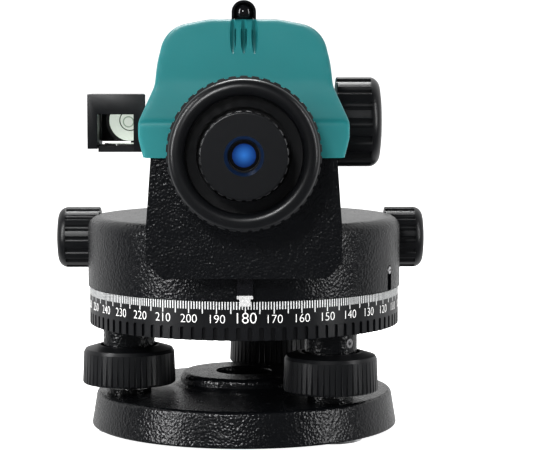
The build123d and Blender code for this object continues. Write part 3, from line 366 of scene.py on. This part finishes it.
def join(pieces):
    """Joins pieces into the first of them."""
    bpy.ops.object.select_all(action="DESELECT")
    for piece in pieces:
        piece.select_set(True)
    bpy.context.view_layer.objects.active = pieces[0]
    bpy.ops.object.join()
    return bpy.context.object


numerals = []
for number in range(0, 360, NUMERAL_EVERY):
    bpy.ops.object.select_all(action="DESELECT")
    bpy.ops.object.text_add()
    words = bpy.context.object
    words.data.body = str(number)
    words.data.align_x = "CENTER"
    words.data.size = NUMERAL_HEIGHT / NUMERAL_CAP * (NUMERAL_LARGER if number % 180 == 0 else 1.0)
    words.data.offset = STROKE_TRIM
    words.data.extrude = NUMERAL_T
    bpy.ops.object.convert(target="MESH")
    angle = math.radians(DEGREE_AT_EYEPIECE - number)
    for point in words.data.vertices:
        bend = angle + point.co.x / ring_high.x
        reach = ring_high.x + NUMERAL_PROUD + point.co.z
        point.co = (reach * math.sin(bend), -reach * math.cos(bend), NUMERAL_BASE + point.co.y)
    numerals.append(words)
numerals = join(numerals)
numerals.name = "circle_numerals"
numeral_white = Finish("numeral_white", Base_Color=(0.80, 0.80, 0.79))
numeral_white.patchy(low=0.42, span=0.15, size=1.0 * MM)
numeral_white.dress(numerals)
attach(numerals, "circle")

# ---------------------------------------------------------------------------
# The cover: one teal moulding over the telescope, satin, with soft edges.  Its rear slopes up to
# the sight, it flares out beside the eyepiece, and three grooves run down from the sight.
# ---------------------------------------------------------------------------
COVER_WALL = 2.0 * MM
COVER_VOXEL = 0.8 * MM
COVER_SPARE = 4.0 * MM             # height below the edge, cut off before the wall is made
SOFTEN_FACTOR = 0.5
SOFTEN_STEPS = 14
TOP_HALF_W = 27.0 * MM
CROWN = 1.3 * MM
CORNER_ROUND = 10.0 * MM
CORNER_STEPS = 8
SLOPE_FOOT = 104.6 * MM            # where the rear starts to lean forward
RIDGE_Y = -30.0 * MM               # where the slope meets the top
BROW_Y = 18.0 * MM                 # where the top starts to fall towards the objective
BROW_FALL = 12.7 * MM
FLARE_STEP = 3.1 * MM              # how far the flare stands out from the side
FLARE_TOP = 119.0 * MM
FLARE_END = -36.0 * MM
FLARE_SHOULDER = 106.0 * MM        # the flare leans in above this height
FLARE_SHOULDER_LEAN = 0.42
FLARE_TUCK = 100.9 * MM            # and tucks in below this one
FLARE_TUCK_LEAN = 0.26
FLARE_TAPER = 5.0 * MM             # its front end tapers into the side over this length
FLARE_TAPER_LEAN = 0.6
GROOVE_APART = 3.5 * MM
GROOVE_R = 1.05 * MM
GROOVE_LENGTH = 18.0 * MM
GROOVE_PAST_RIDGE = 2.0 * MM
WIDE_CREASE = math.radians(50)
TEAL_DEEP = (0.014, 0.168, 0.176)
TEAL_PALE = (0.019, 0.188, 0.197)
TEAL_CLOUD = 14.0 * MM
cover_low, cover_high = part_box("top_cover")
side_half_w = cover_high.x - FLARE_STEP
blank_low_z = cover_low.z - COVER_SPARE


def block_between(low, high):
    """A new box in edit mode between two corners."""
    bpy.ops.object.select_all(action="DESELECT")
    bpy.ops.mesh.primitive_cube_add(size=1.0, location=(Vector(low) + Vector(high)) / 2)
    box = bpy.context.object
    box.scale = Vector(high) - Vector(low)
    bpy.ops.object.transform_apply(location=True, rotation=True, scale=True)
    bpy.ops.object.mode_set(mode="EDIT")
    return box


def trim(point, outward, close=True):
    """Cuts off what lies outward of the plane through point, in edit mode."""
    bpy.ops.mesh.select_all(action="SELECT")
    bpy.ops.mesh.bisect(plane_co=point, plane_no=outward, use_fill=close, clear_outer=True)


def trim_rear_slope():
    """Cuts the lean of the rear, from its foot up to the ridge."""
    trim((0, cover_low.y, SLOPE_FOOT), (0, SLOPE_FOOT - cover_high.z, RIDGE_Y - cover_low.y))


def finish_modifiers(piece):
    """Selects a piece alone and applies its modifiers, in order."""
    bpy.ops.object.select_all(action="DESELECT")
    piece.select_set(True)
    bpy.context.view_layer.objects.active = piece
    for name in [modifier.name for modifier in piece.modifiers]:
        bpy.ops.object.modifier_apply(modifier=name)


body = block_between((-side_half_w, cover_low.y, blank_low_z), (side_half_w, cover_high.y, cover_high.z))
for side in (-1, 1):
    trim((side * TOP_HALF_W, 0, cover_high.z),
         (side * (cover_high.z - cover_low.z), 0, side_half_w - TOP_HALF_W))
    trim((0, 0, cover_high.z), (side * CROWN, 0, TOP_HALF_W))
trim_rear_slope()
trim((0, BROW_Y, cover_high.z), (0, BROW_FALL, cover_high.y - BROW_Y))
for side in (-1, 1):
    for step in range(1, CORNER_STEPS):
        lean = math.radians(90 * step / CORNER_STEPS)
        outward = Vector((side * math.cos(lean), 0, math.sin(lean)))
        middle = Vector((side * (TOP_HALF_W - CORNER_ROUND), 0, cover_high.z - CROWN - CORNER_ROUND))
        trim(middle + outward * CORNER_ROUND, outward)
bpy.ops.object.mode_set(mode="OBJECT")

flare = block_between((-cover_high.x, cover_low.y, blank_low_z), (cover_high.x, FLARE_END, FLARE_TOP))
for side in (-1, 1):
    edge = side * cover_high.x
    trim((edge, 0, FLARE_SHOULDER), (side, 0, FLARE_SHOULDER_LEAN))
    trim((edge, 0, FLARE_TUCK), (side, 0, -FLARE_TUCK_LEAN))
    trim((edge, FLARE_END - FLARE_TAPER, 0), (side, FLARE_TAPER_LEAN, 0))
trim_rear_slope()
bpy.ops.object.mode_set(mode="OBJECT")

cover = join([body, flare])
remesh = cover.modifiers.new("one_skin", "REMESH")
remesh.mode = "VOXEL"
remesh.voxel_size = COVER_VOXEL
soften = cover.modifiers.new("soften", "SMOOTH")
soften.factor = SOFTEN_FACTOR
soften.iterations = SOFTEN_STEPS

slope = Vector((0, RIDGE_Y - cover_low.y, cover_high.z - SLOPE_FOOT)).normalized()
bars = []
for place in (-GROOVE_APART, 0, GROOVE_APART):
    start = Vector((place, RIDGE_Y, cover_high.z)) + slope * GROOVE_PAST_RIDGE
    end = start - slope * GROOVE_LENGTH
    bpy.ops.object.select_all(action="DESELECT")
    bpy.ops.mesh.primitive_uv_sphere_add(
        segments=16, ring_count=12, radius=GROOVE_R, location=(0, 0, 0))
    bar = bpy.context.object
    bar.scale.z = (start - end).length / (2 * GROOVE_R)
    bar.rotation_mode = "QUATERNION"
    bar.rotation_quaternion = slope.to_track_quat("Z", "X")
    bar.location = (start + end) / 2
    bpy.ops.object.transform_apply(location=True, rotation=True, scale=True)
    bars.append(bar)
    groove = cover.modifiers.new("groove", "BOOLEAN")
    groove.operation = "DIFFERENCE"
    groove.object = bar
finish_modifiers(cover)
for bar in bars:
    bpy.data.objects.remove(bar)

bpy.ops.object.mode_set(mode="EDIT")
trim((0, 0, cover_low.z), (0, 0, -1), close=False)
bpy.ops.object.mode_set(mode="OBJECT")
wall = cover.modifiers.new("wall", "SOLIDIFY")
wall.thickness = COVER_WALL
wall.offset = -1
finish_modifiers(cover)
bpy.ops.object.shade_smooth_by_angle(angle=WIDE_CREASE)
cover.name = "moulded_cover"

teal = Finish("satin_teal_plastic", Specular_IOR_Level=0.35)
teal.bump(teal.noise(size=0.30 * MM, detail=2.0), depth=0.010 * MM)
teal.feed(Base_Color=teal.mix(teal.noise(TEAL_CLOUD), TEAL_DEEP, TEAL_PALE))
teal.patchy(low=0.34, span=0.12, size=5.0 * MM)
teal.dress(cover)
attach(cover, "alidade")
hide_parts("top_cover")

# ---------------------------------------------------------------------------
# The eyepiece's rings, the focus knob and the objective ring: moulded in black plastic with more
# gloss than the other knobs.
# ---------------------------------------------------------------------------
gloss_moulding = Finish("glossy_moulding", Base_Color=PLASTIC_BLACK)
gloss_moulding.bump(gloss_moulding.noise(size=0.4 * MM, detail=2.0), depth=0.008 * MM)
gloss_moulding.patchy(low=0.26, span=0.10, size=2.0 * MM)
gloss_moulding.coat("eyepiece_cover_ring", "dioptre_ring", "focus_knob", "objective_ring")

# ---------------------------------------------------------------------------
# The gun sight: a polished black arch and bead on the ridge.  The arch is closed behind the bead
# by a thin round-topped web, moulded in one with it.
# ---------------------------------------------------------------------------
WEB_T = 1.6 * MM
WEB_MARGIN = 0.3 * MM
WEB_ROUND = 0.4 * MM
WEB_SIDES = 64
ROUND_SEGMENTS = 3
CREASE = math.radians(40)
arch_low, arch_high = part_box("sight_arch")
web_r = arch_high.x - WEB_MARGIN

gloss = Finish("polished_black", Base_Color=(0.008, 0.008, 0.009))
gloss.patchy(low=0.05, span=0.06, size=2.0 * MM)
gloss.coat("sight_arch", "sight_bead")

bpy.ops.object.select_all(action="DESELECT")
bpy.ops.mesh.primitive_cylinder_add(
    vertices=WEB_SIDES, radius=web_r, depth=WEB_T, rotation=(math.radians(90), 0, 0),
    location=(0, arch_high.y - WEB_T / 2 - WEB_MARGIN, arch_high.z - WEB_MARGIN - web_r))
web = bpy.context.object
bpy.ops.object.transform_apply(location=True, rotation=True, scale=True)
bpy.ops.object.mode_set(mode="EDIT")
trim((0, 0, arch_low.z), (0, 0, -1))
bpy.ops.object.mode_set(mode="OBJECT")
rounded = web.modifiers.new("rounded", "BEVEL")
rounded.width = WEB_ROUND
rounded.segments = ROUND_SEGMENTS
finish_modifiers(web)
bpy.ops.object.shade_smooth_by_angle(angle=CREASE)
web.name = "sight_web"
gloss.dress(web)
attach(web, "alidade")

# ---------------------------------------------------------------------------
# The mirror box over the vial: a black moulding at the side of the housing, its outer edges
# softened by the mould.
# ---------------------------------------------------------------------------
BOX_ROUND = 0.45 * MM
MERGE_UNDER = 0.01 * MM
FLAT_UNDER = math.radians(1)

bpy.ops.object.select_all(action="DESELECT")
mirror_box = NODES["vial_mirror_housing"].copy()
mirror_box.data = NODES["vial_mirror_housing"].data.copy()
bpy.context.collection.objects.link(mirror_box)
mirror_box.select_set(True)
bpy.context.view_layer.objects.active = mirror_box
bpy.ops.object.mode_set(mode="EDIT")
bpy.ops.mesh.select_all(action="SELECT")
bpy.ops.mesh.remove_doubles(threshold=MERGE_UNDER)
bpy.ops.mesh.dissolve_limited(angle_limit=FLAT_UNDER)
bpy.ops.object.mode_set(mode="OBJECT")
rounded = mirror_box.modifiers.new("rounded", "BEVEL")
rounded.width = BOX_ROUND
rounded.segments = ROUND_SEGMENTS
rounded.limit_method = "ANGLE"
rounded.angle_limit = CREASE
finish_modifiers(mirror_box)
bpy.ops.object.shade_smooth_by_angle(angle=CREASE)
mirror_box.name = "soft_edged_mirror_box"
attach(mirror_box, "alidade")
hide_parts("vial_mirror_housing")

# ---------------------------------------------------------------------------
# The eye lens: ground glass with a blue coating, blackened outside the part that is looked
# through, and held in its cell.  Its blue is brighter in the middle and darker towards the
# edge, a painted sheen.
# ---------------------------------------------------------------------------
LENS_SEEN_R = 3.6 * MM
COAT_ROUGH = 0.03
LENS_SHEEN_MIDDLE = (0.05, 0.24, 0.70)
LENS_SHEEN_EDGE = (0.006, 0.045, 0.22)
LENS_BLACK = (0.004, 0.004, 0.006)
eye_low, eye_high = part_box("eye_lenses")
sight_line_z = (eye_low.z + eye_high.z) / 2

coated = Finish("blue_coated_lens", Coat_Weight=1.0, Coat_Roughness=COAT_ROUGH)
# painted sheen: the blue is brighter at the middle and darker towards the lens's edge
off_axis = coated.distance(0, None, sight_line_z) / LENS_SEEN_R
blue = coated.mix(off_axis, LENS_SHEEN_MIDDLE, LENS_SHEEN_EDGE)
coated.feed(Base_Color=coated.mix(off_axis > 1.0, blue, LENS_BLACK))
coated.patchy(low=0.03, span=0.04, size=3.0 * MM)
coated.coat("eye_lenses")

# ---------------------------------------------------------------------------
# The objective and focusing lenses: ground glass with a green coating, held in their cells.
# ---------------------------------------------------------------------------
green = Finish("green_coated_lens", Base_Color=(0.02, 0.09, 0.08), Coat_Weight=1.0,
               Coat_Roughness=COAT_ROUGH)
green.patchy(low=0.03, span=0.04, size=3.0 * MM)
green.coat("objective_lenses", "focusing_lens")

# ---------------------------------------------------------------------------
# The compensator's prisms and the reticle: clear polished glass, in their frame and holder.
# ---------------------------------------------------------------------------
prism = Finish("clear_prism", Base_Color=(0.8, 0.85, 0.88), Transmission_Weight=0.9)
prism.patchy(low=0.02, span=0.03, size=3.0 * MM)
prism.coat("fixed_prisms", "pendulum_prism", "reticle_glass")

# ---------------------------------------------------------------------------
# The vial's mirror: a silvered strip in the mirror box, at a slant over the vial.
# ---------------------------------------------------------------------------
silvered = Finish("silvered_mirror", Base_Color=(0.92, 0.93, 0.93), Metallic=1.0)
silvered.patchy(low=0.01, span=0.03, size=2.0 * MM)
silvered.coat("vial_mirror")

# ---------------------------------------------------------------------------
# The circular vial: pale glass in a dark rim, with a black ring round the middle and the bubble
# a little off it.  Its face glows faintly with its own colours, which is painted light.
# ---------------------------------------------------------------------------
VIAL_FACE_R = 6.9 * MM
VIAL_CIRCLE_R = 3.4 * MM
VIAL_CIRCLE_HALF_W = 0.16 * MM
VIAL_PAINTED_GLOW = 0.55
BUBBLE_R = 1.7 * MM
BUBBLE_OFF = 0.5 * MM
BUBBLE_EDGE_HALF_W = 0.22 * MM
VIAL_WHITE = (0.74, 0.80, 0.72)
BUBBLE_GREY = (0.36, 0.42, 0.36)
VIAL_LINE_BLACK = (0.03, 0.03, 0.03)
VIAL_RIM_BLACK = (0.02, 0.02, 0.02)
vial_low, vial_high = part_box("circular_vial")
vial_x = (vial_low.x + vial_high.x) / 2
vial_y = (vial_low.y + vial_high.y) / 2

# painted light: the vial's face glows with its own colours, brightening it in the dim mirror box
vial = Finish("vial_glass", Emission_Strength=VIAL_PAINTED_GLOW)
out = vial.distance(vial_x, vial_y, None)
bubble = vial.distance(vial_x - BUBBLE_OFF, vial_y + BUBBLE_OFF, None)
on_circle = abs(out - VIAL_CIRCLE_R) < VIAL_CIRCLE_HALF_W
on_bubble = abs(bubble - BUBBLE_R) < BUBBLE_EDGE_HALF_W
face = vial.mix(on_bubble, VIAL_WHITE, BUBBLE_GREY)
face = vial.mix(on_circle, face, VIAL_LINE_BLACK)
face = vial.mix(out > VIAL_FACE_R, face, VIAL_RIM_BLACK)
vial.feed(Base_Color=face, Emission_Color=face)
vial.patchy(low=0.08, span=0.06, size=2.0 * MM)
vial.coat("circular_vial")

# ---------------------------------------------------------------------------
# The index pointer: a steel tongue under the lip of the housing, blackened down to its tip.
# ---------------------------------------------------------------------------
POINTER_BARE = 3.4 * MM            # length of the bright tip
TIP_BRIGHT = (0.90, 0.90, 0.90)
TIP_METAL = 0.5
POINTER_BLACK = (0.006, 0.006, 0.008)
tip_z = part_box("index_pointer")[0].z

pointer = Finish("blackened_pointer")
black = pointer.axes()[2] > tip_z + POINTER_BARE
pointer.feed(Base_Color=pointer.mix(black, TIP_BRIGHT, POINTER_BLACK),
             Metallic=TIP_METAL - TIP_METAL * black)
pointer.patchy(low=0.22, span=0.1, size=1.0 * MM)
pointer.coat("index_pointer")

# ---------------------------------------------------------------------------
# The eyepiece ring's rounded front: a swelling moulded round the ring between its teeth and the
# dish that the dioptre ring turns in.
# ---------------------------------------------------------------------------
BAND_R = 20.4 * MM
BAND_HALF_W = 2.6 * MM
BAND_RISE = 2.2 * MM
BAND_SUNK = 0.4 * MM               # how deep its flat back lies in the ring
ring_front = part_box("eyepiece_cover_ring")[0].y

bpy.ops.object.select_all(action="DESELECT")
bpy.ops.mesh.primitive_torus_add(
    location=(0, ring_front, sight_line_z), rotation=(math.radians(90), 0, 0), major_radius=BAND_R,
    minor_radius=BAND_HALF_W, major_segments=144, minor_segments=24)
band = bpy.context.object
band.scale.z = BAND_RISE / BAND_HALF_W
bpy.ops.object.transform_apply(location=True, rotation=True, scale=True)
bpy.ops.object.mode_set(mode="EDIT")
trim((0, ring_front + BAND_SUNK, 0), (0, 1, 0), close=False)
bpy.ops.mesh.select_all(action="DESELECT")
bpy.ops.mesh.select_non_manifold()
bpy.ops.mesh.bridge_edge_loops()
bpy.ops.mesh.select_all(action="SELECT")
bpy.ops.mesh.normals_make_consistent(inside=False)
bpy.ops.object.mode_set(mode="OBJECT")
bpy.ops.object.shade_smooth_by_angle(angle=WIDE_CREASE)
band.name = "eyepiece_ring_front"
gloss_moulding.dress(band)
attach(band, "alidade")
